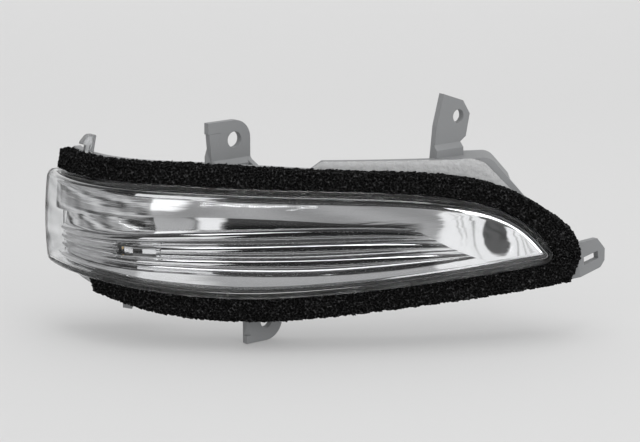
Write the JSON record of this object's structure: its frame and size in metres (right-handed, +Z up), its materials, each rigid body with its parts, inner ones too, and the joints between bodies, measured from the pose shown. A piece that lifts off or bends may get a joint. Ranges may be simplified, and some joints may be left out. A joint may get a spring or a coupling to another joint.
{
  "type": "door mirror turn signal lamp",
  "caption": "Wrap-round clear signal lamp for a door mirror, with a ribbed bright reflector, foam seals and screw tabs on a grey housing.",
  "frame": {"origin": "centre of the upper outer screw hole at the front face of its tab", "axes": "+X along the lamp towards its pointed inner end, +Y towards the back (the lens faces -Y), +Z up"},
  "size_m": [0.2105, 0.0484, 0.0925],
  "materials": {
    "housing_plastic": "fine moulded grain",
    "clear_plastic": "clear gloss moulding",
    "foam": "open-cell foam",
    "bright_metal": "bright metallised",
    "board": "lacquered board",
    "led_resin": "clear amber resin",
    "component": "moulded black",
    "resistor": "glazed ceramic",
    "contact": "tinned",
    "steel": "zinc plated"
  },
  "bodies": {
    "root": {"rear_housing": "housing_plastic", "outer_lens": "clear_plastic", "reflector": "bright_metal", "light_window": "clear_plastic", "upper_foam_seal": "foam", "lower_foam_seal": "foam", "circuit_board": "board", "amber_led_1": "led_resin", "amber_led_2": "led_resin", "amber_led_3": "led_resin", "driver_chip": "component", "resistors": "resistor", "protection_diode": "component", "capacitor": "component", "board_screws": "steel", "terminal_signal": "contact", "terminal_ground": "contact"}
  },
  "joints": []
}
